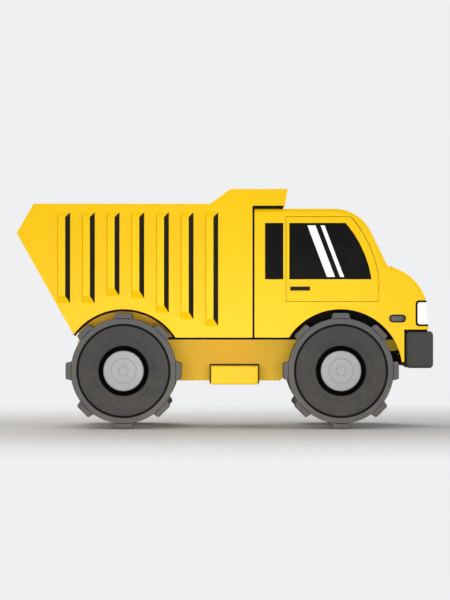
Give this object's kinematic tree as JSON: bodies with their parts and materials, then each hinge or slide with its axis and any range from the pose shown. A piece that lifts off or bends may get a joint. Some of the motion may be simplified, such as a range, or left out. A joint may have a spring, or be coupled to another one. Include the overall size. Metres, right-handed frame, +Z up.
{
  "type": "dump truck",
  "caption": "Two-axle rigid dump truck with a ribbed tipping rock body, cab guard, bull-nosed cab and lugged tyres.",
  "frame": {"origin": "on the ground, under the centre of the truck's bounding box", "axes": "+X forward, along the truck; +Y to its left; +Z up"},
  "size_m": [7.176, 3.3, 4.133],
  "materials": {
    "yellow_paint": "gloss",
    "black_paint": "satin",
    "bumper_grey": "satin",
    "bed_steel": "satin",
    "hub_grey": "satin",
    "axle_steel": "satin",
    "polished_rod": "gloss",
    "tyre_rubber": "matt",
    "black_rubber": "matt",
    "dark_glass": "gloss",
    "white_lens": "gloss",
    "grey_lens": "gloss",
    "red_lens": "gloss",
    "black_plastic": "matt",
    "seat_cloth": "matt"
  },
  "bodies": {
    "chassis": {"frame": "yellow_paint", "rest_pads": "black_rubber", "rear_axle": "axle_steel", "front_axle": "axle_steel", "leaf_springs": "axle_steel", "drive_shaft": "axle_steel", "engine": "axle_steel", "radiator": "black_paint", "bumper": "bumper_grey", "bumper_trim": "black_rubber", "tail_lamps": "red_lens", "cab_shell": "yellow_paint", "cab_floor": "black_plastic", "wheel_housings": "black_plastic", "cab_glass": "dark_glass", "grille": "black_plastic", "headlamps": "white_lens", "headlamp_gaskets": "black_rubber", "marker_rims": "black_plastic", "marker_lamps": "grey_lens", "cab_seal": "black_rubber", "dashboard": "black_plastic", "steering_wheel": "black_plastic", "seats": "seat_cloth", "side_boxes": "yellow_paint", "box_brackets": "black_paint"},
    "knuckle_left": {"knuckle_left": "axle_steel"},
    "knuckle_right": {"knuckle_right": "axle_steel"},
    "tie_rod": {"tie_rod": "axle_steel"},
    "wheel_front_left": {"tyre_front_left": "tyre_rubber", "rim_front_left": "hub_grey"},
    "wheel_front_right": {"tyre_front_right": "tyre_rubber", "rim_front_right": "hub_grey"},
    "wheel_rear_left": {"tyre_rear_left": "tyre_rubber", "rim_rear_left": "hub_grey"},
    "wheel_rear_right": {"tyre_rear_right": "tyre_rubber", "rim_rear_right": "hub_grey"},
    "bed": {"bed_sides": "yellow_paint", "bed_floor": "bed_steel", "bed_headboard": "bed_steel", "cab_guard": "yellow_paint", "bed_sills": "yellow_paint", "hoist_bracket": "yellow_paint"},
    "hoist_barrels": {"hoist_barrels": "axle_steel"},
    "hoist_sleeves": {"hoist_sleeves": "polished_rod"},
    "hoist_rods": {"hoist_rods": "polished_rod"},
    "door_left": {"door_left": "yellow_paint", "door_glass_left": "dark_glass", "door_handle_left": "black_plastic"},
    "door_right": {"door_right": "yellow_paint", "door_glass_right": "dark_glass", "door_handle_right": "black_plastic"},
    "hood": {"hood": "yellow_paint"}
  },
  "joints": [
    {"name": "steer_left", "type": "hinge", "parent": "chassis", "child": "knuckle_left", "pos_m": [1.994, 1.2, 1], "axis": [0, 0, 1], "range_deg": [-31, 31]},
    {"name": "steer_right", "type": "hinge", "parent": "chassis", "child": "knuckle_right", "pos_m": [1.994, -1.2, 1], "axis": [0, 0, 1], "range_deg": [-31, 31]},
    {"name": "tie_rod_swing", "type": "hinge", "parent": "knuckle_left", "child": "tie_rod", "pos_m": [1.76, 1.2, 0.804], "axis": [0, 0, 1], "range_deg": [-31, 31]},
    {"name": "roll_front_left", "type": "hinge", "parent": "knuckle_left", "child": "wheel_front_left", "pos_m": [1.994, 1.37, 1], "axis": [0, 1, 0], "continuous": true},
    {"name": "roll_front_right", "type": "hinge", "parent": "knuckle_right", "child": "wheel_front_right", "pos_m": [1.994, -1.37, 1], "axis": [0, 1, 0], "continuous": true},
    {"name": "roll_rear_left", "type": "hinge", "parent": "chassis", "child": "wheel_rear_left", "pos_m": [-1.746, 1.37, 1], "axis": [0, 1, 0], "continuous": true},
    {"name": "roll_rear_right", "type": "hinge", "parent": "chassis", "child": "wheel_rear_right", "pos_m": [-1.746, -1.37, 1], "axis": [0, 1, 0], "continuous": true},
    {"name": "bed_tip", "type": "hinge", "parent": "chassis", "child": "bed", "pos_m": [-2.48, 0, 1.44], "axis": [0, -1, 0], "range_deg": [0, 55]},
    {"name": "hoist_swing", "type": "hinge", "parent": "chassis", "child": "hoist_barrels", "pos_m": [-0.93, 0, 0.88], "axis": [0, -1, 0], "range_deg": [0, 63]},
    {"name": "hoist_sleeve_slide", "type": "slide", "parent": "hoist_barrels", "child": "hoist_sleeves", "axis": [0.8767, 0, 0.481], "range_m": [0, 0.76]},
    {"name": "hoist_rod_slide", "type": "slide", "parent": "hoist_sleeves", "child": "hoist_rods", "axis": [0.8767, 0, 0.481], "range_m": [0, 0.76]},
    {"name": "door_left_swing", "type": "hinge", "parent": "chassis", "child": "door_left", "pos_m": [2.648, 1.543, 2.9], "axis": [0, 0, -1], "range_deg": [0, 70]},
    {"name": "door_right_swing", "type": "hinge", "parent": "chassis", "child": "door_right", "pos_m": [2.648, -1.543, 2.9], "axis": [0, 0, 1], "range_deg": [0, 70]},
    {"name": "hood_lift", "type": "hinge", "parent": "chassis", "child": "hood", "pos_m": [2.8849, 0, 2.7984], "axis": [0, -1, 0], "range_deg": [0, 60]}
  ],
  "couplings": [
    {"joint": "steer_right", "follows": "steer_left", "ratio": 1},
    {"joint": "tie_rod_swing", "follows": "steer_left", "ratio": -1},
    {"joint": "hoist_swing", "follows": "bed_tip", "ratio": 1.1367},
    {"joint": "hoist_sleeve_slide", "follows": "bed_tip", "m_per_rad": 0.7821},
    {"joint": "hoist_rod_slide", "follows": "bed_tip", "m_per_rad": 0.7821}
  ]
}
